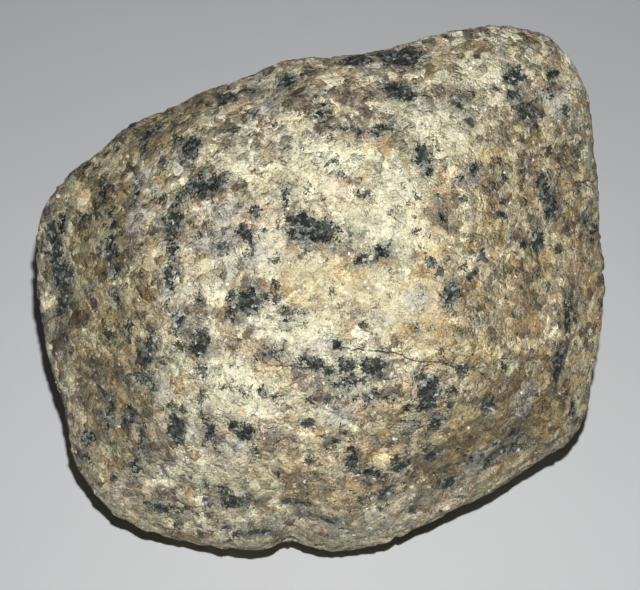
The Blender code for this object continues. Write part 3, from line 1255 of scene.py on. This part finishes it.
    grit_noise: Cloud = Cloud(3.6, 6.0, 0.80)
    grit_tones: tuple = (
        (0.30, (0.30, 0.28, 0.24)), (0.46, (0.86, 0.85, 0.83)), (0.56, grey(1.05)), (0.74, grey(1.28)),
    )
    grit_strength: float = 0.60
    grit_in_ground: float = 0.45
    grit_where_clean: float = -0.45
    grit_where_pale: float = 0.20
    clean_noise: Cloud = Cloud(0.55, 3.0, 0.6)
    clean_patches: Span = (0.40, 0.60)
    pit_noise: Cloud = Cloud(5.2, 3.0, 0.7)
    pit_density: Span = (0.565, 0.625)
    pit_cluster_noise: Cloud = Cloud(0.6, 2.0)
    pit_clusters: float = 0.45
    pits_in_ground: float = 0.06
    pits_where_smoky: float = 0.04
    pits_where_pale: float = -0.05
    pit_strength: float = 0.62
    painted_glint_pick: Span = (0.983, 0.987)
    painted_glint_strength: float = 0.8

    matt: float = 0.70
    glassy_pick: Span = (0.86, 0.90)
    glassy_gloss: float = 0.38
    dark_gloss: float = 0.14
    reflectivity: float = 0.35
    small_tilt: float = 1.6
    tiny_tilt: float = 0.8
    seam_depth: float = 0.5
    seam_half_width: float = 0.16
    grit_relief_noise: Cloud = Cloud(3.6, 4.0, 0.80)
    grit_height: float = 0.25

    def material(self) -> bpy.types.Material:
        """Draw the granite's nodes.

        Returns:
            The finished material.
        """
        material = bpy.data.materials.new("granite")
        material.use_nodes = True
        sketch = Sketch(material.node_tree)
        shader = material.node_tree.nodes["Principled BSDF"]
        place = self.millimetres(sketch)
        masks = {mineral: self.mask(sketch, place, mineral) for mineral in Mineral}
        dark = self.flecked(sketch, place, masks[Mineral.DARK])
        crevice = self.crevice_mask(sketch, place)
        ground = self.ground_mask(sketch, place)
        colour = self.feldspar(sketch, place, ground)
        colour = self.stained(sketch, place, colour, masks)
        colour = self.gritty(sketch, place, colour, masks, ground)
        colour = self.darkened(sketch, place, colour, dark, crevice)
        sketch.feed(shader.inputs["Base Color"], colour)
        sketch.feed(shader.inputs["Roughness"], self.roughness(sketch, place, dark))
        sketch.feed(shader.inputs["Normal"], self.relief(sketch, place))
        shader.inputs["Specular IOR Level"].default_value = self.reflectivity
        return material

    def millimetres(self, sketch: Sketch) -> Socket:
        """Give the place in millimetres, squeezed along the sight line so that crystals run long.

        Args:
            sketch: the tree that is drawn.

        Returns:
            The place, from which every pattern is read.
        """
        place = sketch.add("ShaderNodeTexCoord").outputs["Object"]
        place = sketch.vector("SCALE", {0: place, "Scale": 1.0 / METRES_PER_MM})
        axis = (0.0, -float(np.cos(SIGHT.elevation)), float(np.sin(SIGHT.elevation)))
        less = sketch.math("MULTIPLY", sketch.dot(place, axis), self.grain_stretch - 1.0)
        shift = sketch.vector("SCALE", {0: axis, "Scale": less})
        return sketch.vector("ADD", {0: place, 1: shift})

    def ragged(self, sketch: Sketch, place: Socket, reach: Value, edge: MaskEdge) -> Socket:
        """Turn a reach in millimetres into a mask with a ragged edge."""
        inputs = {
            "Reach": reach, "Place": place, "Scale": edge.scale,
            "Raggedness": edge.raggedness, "Fray": edge.fray, "Softness": edge.softness,
        }
        return sketch.use(self.effects.ragged, inputs).outputs["Mask"]

    def mask(self, sketch: Sketch, place: Socket, mineral: Mineral) -> Socket:
        """Give the ragged mask of one mineral's patches."""
        return self.ragged(sketch, place, sketch.attribute(mineral.value), self.edges[mineral])

    def grains(self, sketch: Sketch, place: Socket, mosaic: Mosaic) -> bpy.types.NodeOutputs:
        """Place a mosaic of crystal grains."""
        inputs = {"Place": place, "Scale": mosaic.scale, "Warp": mosaic.warp, "Fray": mosaic.fray}
        return sketch.use(self.effects.grains, inputs).outputs

    def flecked(self, sketch: Sketch, place: Socket, placed: Socket) -> Socket:
        """Join the placed dark grains and painted crest shadow with fine flecks, which are rare cells of
        fine mosaics.

        Args:
            sketch: the tree that is drawn.
            place: the place in millimetres.
            placed: the mask of the placed grains and painted crest shadow.

        Returns:
            The mask of everything dark.
        """
        dark = placed
        for flecks in self.flecks:
            cells = self.grains(sketch, place, flecks.mosaic)
            rare = sketch.step(cells["Pick"], flecks.pick, flecks.pick + self.pick_blend)
            inner = sketch.step(cells["Edge"], *self.fleck_edge)
            dark = sketch.math("MAXIMUM", dark, sketch.times(rare, inner, flecks.strength))
        return dark

    def crevice_mask(self, sketch: Sketch, place: Socket) -> Socket:
        """Draw the hairline breaks, thin and broken where they are nearly shut.

        Args:
            sketch: the tree that is drawn.
            place: the place in millimetres.

        Returns:
            Their mask.
        """
        wobble = sketch.centred(sketch.noise(place, self.break_wobble_noise), self.break_wobble)
        broken = sketch.step(sketch.noise(place, self.break_gap_noise), *self.break_gaps)
        total = 0.0
        for fracture in FRACTURES:
            offset = sketch.math("ADD", sketch.attribute(fracture.name), wobble)
            near = sketch.step(sketch.math("ABSOLUTE", offset), *self.break_width)
            gap = sketch.attribute(f"{fracture.name}_gap")
            total = sketch.math("MAXIMUM", total, sketch.times(near, gap, broken))
        return total

    def ground_mask(self, sketch: Sketch, place: Socket) -> Socket:
        """Find the gritty ground between the larger crystals.

        Args:
            sketch: the tree that is drawn.
            place: the place in millimetres.

        Returns:
            Its mask.
        """
        cells = self.grains(sketch, place, self.ground_grains)
        fray = sketch.centred(sketch.noise(place, self.ground_fray_noise), self.ground_fray)
        between = sketch.step(sketch.math("ADD", cells["Edge"], fray), *self.ground_edge)
        patchy = sketch.step(sketch.noise(place, self.ground_patch_noise), *self.ground_patches)
        return sketch.times(between, patchy)

    def feldspar(self, sketch: Sketch, place: Socket, ground: Socket) -> Socket:
        """Colour the light minerals: a mosaic of grains, with a finer one between and on them.

        Args:
            sketch: the tree that is drawn.
            place: the place in millimetres.
            ground: the mask of the gritty ground.

        Returns:
            Their colour.
        """
        large = self.grains(sketch, place, self.large_grains)
        large_palette = [
            (0.0, self.cream), (0.24, self.ivory), (0.42, self.green_grey), (0.56, self.cool_grey),
            (0.68, self.rose), (0.79, self.tan), (0.92, self.smoky),
        ]
        small = self.grains(sketch, place, self.small_grains)
        small_palette = [
            (0.0, self.ivory), (0.28, self.cool_grey), (0.44, self.cream), (0.66, self.green_grey),
            (0.78, self.tan), (0.90, self.smoky),
        ]
        share = sketch.step(sketch.noise(place, self.small_share_noise), *self.small_share)
        colour = sketch.mix(
            share, sketch.ramp(large["Pick"], large_palette, hard=True),
            sketch.ramp(small["Pick"], small_palette, hard=True),
        )
        shade = sketch.ramp(small["Shade"], self.shade_tones)
        colour = sketch.mix(1.0, colour, shade, "MULTIPLY")
        swell = sketch.ramp(sketch.noise(place, self.swell_noise), self.swell_tones)
        colour = sketch.mix(1.0, colour, swell, "MULTIPLY")
        # Dark seams between the small grains: partly dirt, partly painted shade where the gaps sink.
        fray = sketch.centred(sketch.noise(place, self.seam_fray_noise), self.seam_fray)
        seam = sketch.step(sketch.math("ADD", small["Edge"], fray), *self.seam_edge)
        open_seam = sketch.step(sketch.noise(place, self.seam_patch_noise), *self.seam_patches)
        colour = sketch.mix(sketch.times(seam, open_seam, self.seam_dirt_and_shade), colour, self.smoky)
        between = [(0.0, self.smoky), (0.45, self.tan), (0.75, self.cool_grey)]
        grit = sketch.ramp(small["Shade"], between)
        return sketch.mix(sketch.times(ground, self.ground_strength), colour, grit)

    def stained(self, sketch: Sketch, place: Socket, colour: Socket, masks: dict) -> Socket:
        """Lay the patches over the light minerals, from the pale ones to the quartz on top, with painted
        shade among them.

        Args:
            sketch: the tree that is drawn.
            place: the place in millimetres.
            colour: the light minerals' colour.
            masks: each mineral's mask.

        Returns:
            The stained colour.
        """
        share = {name: sketch.times(masks[name], self.strengths[name]) for name in self.strengths}
        colour = sketch.mix(share[Mineral.PALE], colour, self.pale)
        colour = sketch.mix(share[Mineral.SMOKY], colour, self.smoky)
        colour = sketch.mix(share[Mineral.WARM], colour, self.warm, "MULTIPLY")
        cells = self.grains(sketch, place, self.brown_grains)
        brown = sketch.step(cells["Pick"], *self.rust_pick)
        brown = sketch.times(brown, masks[Mineral.WARM], self.rust_strength)
        colour = sketch.mix(brown, colour, self.rust)
        # Painted shade with a brown dirty tint darkens the sides that turn away from the lamp.
        colour = sketch.mix(share[Mineral.SHADED], colour, self.dirt_and_shade, "MULTIPLY")
        colour = sketch.mix(share[Mineral.OCHRE], colour, self.ochre)
        return sketch.mix(share[Mineral.QUARTZ], colour, self.quartz)

    def gritty(
        self, sketch: Sketch, place: Socket, colour: Socket, masks: dict, ground: Socket
    ) -> Socket:
        """Speckle the surface with fine pits, fewer on the pale patches, and painted glints: white
        points that stand in for the lamp's sparkle.

        Args:
            sketch: the tree that is drawn.
            place: the place in millimetres.
            colour: the stained colour.
            masks: each mineral's mask.
            ground: the mask of the gritty ground.

        Returns:
            The speckled colour.
        """
        fine = sketch.ramp(sketch.noise(place, self.grit_noise), self.grit_tones)
        clean = sketch.step(sketch.noise(place, self.clean_noise), *self.clean_patches)
        strength = sketch.plus(
            self.grit_strength, sketch.times(clean, self.grit_where_clean),
            sketch.times(ground, self.grit_in_ground),
        )
        less = sketch.times(masks[Mineral.PALE], self.grit_where_pale)
        colour = sketch.mix(sketch.math("SUBTRACT", strength, less), colour, fine, "MULTIPLY")
        density = sketch.plus(
            sketch.noise(place, self.pit_noise),
            sketch.centred(sketch.noise(place, self.pit_cluster_noise), self.pit_clusters),
            sketch.times(ground, self.pits_in_ground),
            sketch.times(masks[Mineral.SMOKY], self.pits_where_smoky),
            sketch.times(masks[Mineral.PALE], self.pits_where_pale),
        )
        pits = sketch.times(sketch.step(density, *self.pit_density), self.pit_strength)
        colour = sketch.mix(pits, colour, self.crevice)
        # Painted glints: rare small cells turned white, as sparkle from the lamp.
        points = self.grains(sketch, place, self.painted_glint_grains)
        rare = sketch.step(points["Pick"], *self.painted_glint_pick)
        inner = sketch.step(points["Edge"], *self.fleck_edge)
        return sketch.mix(sketch.times(rare, inner, self.painted_glint_strength), colour, self.painted_glint)

    def darkened(
        self, sketch: Sketch, place: Socket, colour: Socket, dark: Socket, crevice: Socket
    ) -> Socket:
        """Lay the dark grains and painted crest shadow in their grey haloes, with lighter specks, and
        the hairline breaks.

        Args:
            sketch: the tree that is drawn.
            place: the place in millimetres.
            colour: the colour below.
            dark: the mask of everything dark.
            crevice: the mask of the hairline breaks.

        Returns:
            The whole stone's colour.
        """
        reach = sketch.math("ADD", sketch.attribute(Mineral.DARK.value), self.halo_reach)
        halo = self.ragged(sketch, place, reach, self.halo_edge)
        colour = sketch.mix(sketch.times(halo, self.halo_strength), colour, self.halo)
        cells = self.grains(sketch, place, self.dark_specks)
        palette = [
            (0.0, self.dark), (0.44, self.dark_green), (0.76, self.dark_grey), (0.93, self.dark_light),
        ]
        inside = sketch.ramp(cells["Pick"], palette, hard=True)
        fine = sketch.ramp(sketch.noise(place, self.speck_noise), self.speck_tones)
        colour = sketch.mix(dark, colour, sketch.mix(1.0, inside, fine, "MULTIPLY"))
        return sketch.mix(sketch.times(crevice, self.break_strength), colour, self.crevice)

    def roughness(self, sketch: Sketch, place: Socket, dark: Socket) -> Socket:
        """Give matt feldspar, glassier small crystals and slightly glossy dark grains.

        Args:
            sketch: the tree that is drawn.
            place: the place in millimetres.
            dark: the mask of everything dark.

        Returns:
            The roughness.
        """
        cells = self.grains(sketch, place, self.glassy_grains)
        glassy = sketch.times(sketch.step(cells["Shade"], *self.glassy_pick), self.glassy_gloss)
        light = sketch.math("SUBTRACT", self.matt, glassy)
        return sketch.math("SUBTRACT", light, sketch.times(dark, self.dark_gloss))

    def relief(self, sketch: Sketch, place: Socket) -> Socket:
        """Tilt each crystal its own way and pit the surface, with heights in millimetres.

        Args:
            sketch: the tree that is drawn.
            place: the place in millimetres.

        Returns:
            The normal.
        """
        small = self.grains(sketch, place, self.small_grains)
        tiny = self.grains(sketch, place, self.tiny_grains)
        seam = sketch.math("MINIMUM", small["Edge"], self.seam_half_width)
        grit = sketch.noise(place, self.grit_relief_noise)
        height = sketch.plus(
            sketch.times(small["Facet"], self.small_tilt), sketch.times(tiny["Facet"], self.tiny_tilt),
            sketch.times(seam, self.seam_depth), sketch.times(grit, self.grit_height),
        )
        bump = sketch.add("ShaderNodeBump", {"Height": height, "Distance": METRES_PER_MM})
        return bump.outputs["Normal"]


@dataclass(frozen=True)
class FloorFinish:
    """A plain pale matt floor."""

    colour: Colour = (0.452, 0.457, 0.464)
    roughness: float = 0.9
    mottle_depth: float = 0.03
    mottle: Cloud = Cloud(30.0)
    mottle_stops: Span = (0.3, 0.7)

    def material(self) -> bpy.types.Material:
        """Draw the floor's nodes, with a faint mottle in its colour.

        Returns:
            The finished material.
        """
        material = bpy.data.materials.new("pale_floor")
        material.use_nodes = True
        sketch = Sketch(material.node_tree)
        shader = material.node_tree.nodes["Principled BSDF"]
        place = sketch.add("ShaderNodeTexCoord").outputs["Object"]
        low = tuple((1.0 - self.mottle_depth) * part for part in self.colour)
        stops = list(zip(self.mottle_stops, (low, self.colour)))
        colour = sketch.ramp(sketch.noise(place, self.mottle), stops)
        sketch.feed(shader.inputs["Base Color"], colour)
        shader.inputs["Roughness"].default_value = self.roughness
        return material


@dataclass
class Studio:
    """The camera, the pale floor, the small lamp beside the lens and the soft light round it."""

    floor_half_size: float = 2.0
    floor_grid: int = 24
    sensor_width: float = 36.0
    lamp_place: Place = (5.0, 31.0, 292.0)
    lamp_power: float = 0.445
    lamp_size: float = 0.006
    lamp_spread: float = 1.9
    lamp_aim: Place = (2.0, -10.0, 0.0)
    ambient: float = 0.008
    ambient_colour: Colour = (0.93, 0.96, 1.0)
    nearest_seen: float = 0.01
    fill_place: Place = (0.10, 0.72, 0.24)
    fill_power: float = 0.5
    fill_size: float = 0.4

    def build_floor(self) -> bpy.types.Object:
        """Make the floor as a flat grid: x and y run along it and z is 0.

        Returns:
            The floor's object.
        """
        steps = np.linspace(-self.floor_half_size, self.floor_half_size, self.floor_grid + 1)
        x, y = np.meshgrid(steps, steps, indexing="ij")
        points = np.stack([x, y, np.zeros_like(x)], axis=-1).reshape(-1, 3)
        floor = mesh_object("floor", points, grid_quads(self.floor_grid + 1))
        floor.data.materials.append(FloorFinish().material())
        return floor

    def sight_place(self, place: Place) -> Vector:
        """Turn a place in sight axes into world metres."""
        return Vector(SIGHT.to_world(np.array(place)) * METRES_PER_MM)

    def aim(self, thing: bpy.types.Object, target: Vector) -> None:
        """Point a lamp or the camera at a target, upright."""
        thing.rotation_euler = (target - thing.location).to_track_quat("-Z", "Y").to_euler()

    def build_camera(self) -> bpy.types.Object:
        """Make the camera at the eye, with the field that gives the picture's scale.

        Returns:
            The camera's object.
        """
        data = bpy.data.cameras.new("camera")
        data.sensor_fit = "HORIZONTAL"
        data.sensor_width = self.sensor_width
        data.lens = self.sensor_width * SIGHT.distance * PIXELS_PER_MM / IMAGE_SIZE[0]
        data.clip_start = self.nearest_seen
        data.dof.use_dof = False
        camera = bpy.data.objects.new("camera", data)
        camera.location = self.sight_place((0.0, 0.0, SIGHT.distance))
        drop = (IMAGE_SIZE[1] / 2.0 - CENTRE_PIXEL[1]) / PIXELS_PER_MM
        self.aim(camera, self.sight_place((0.0, -drop, 0.0)))
        bpy.context.scene.collection.objects.link(camera)
        bpy.context.scene.camera = camera
        return camera

    def build_lamp(
        self, name: str, place: Vector, target: Vector, size: float, power: float
    ) -> bpy.types.Object:
        """Make a round soft lamp.

        Args:
            name: the lamp's name.
            place: where it stands, in world metres.
            target: what it shines at, in world metres.
            size: how wide it is, in metres.
            power: its power in watts.

        Returns:
            The lamp's object.
        """
        data = bpy.data.lights.new(name, "AREA")
        data.shape = "DISK"
        data.size = size
        data.energy = power
        lamp = bpy.data.objects.new(name, data)
        lamp.location = place
        self.aim(lamp, target)
        bpy.context.scene.collection.objects.link(lamp)
        return lamp

    def build_light(self) -> None:
        """Make the small lamp beside the lens, the broad fill behind and the even light all round."""
        place, target = self.sight_place(self.lamp_place), self.sight_place(self.lamp_aim)
        lamp = self.build_lamp("lamp", place, target, self.lamp_size, self.lamp_power)
        lamp.data.spread = self.lamp_spread
        middle = self.sight_place((0.0, 0.0, 0.0))
        self.build_lamp("back_fill", Vector(self.fill_place), middle, self.fill_size, self.fill_power)
        world = bpy.data.worlds.new("soft_light")
        world.use_nodes = True
        background = world.node_tree.nodes["Background"]
        background.inputs["Color"].default_value = (*self.ambient_colour, 1.0)
        background.inputs["Strength"].default_value = self.ambient
        bpy.context.scene.world = world


def main() -> None:
    """Make the camera, floor and light, then the stone, and report each."""
    logging.basicConfig(level=logging.INFO, format="%(message)s")
    log = logging.getLogger("granite pebble")
    bpy.context.scene.view_settings.view_transform = "Standard"
    studio = Studio()
    log.info("camera: %s", studio.build_camera().name)
    studio.build_light()
    log.info("floor: %s", studio.build_floor().name)
    pebble = Pebble()
    stone = pebble.build()
    pebble.fix(stone, GraniteFinish(Effects()))
    log.info("%s: %d points", stone.name, len(stone.data.vertices))


if __name__ == "__main__":
    main()
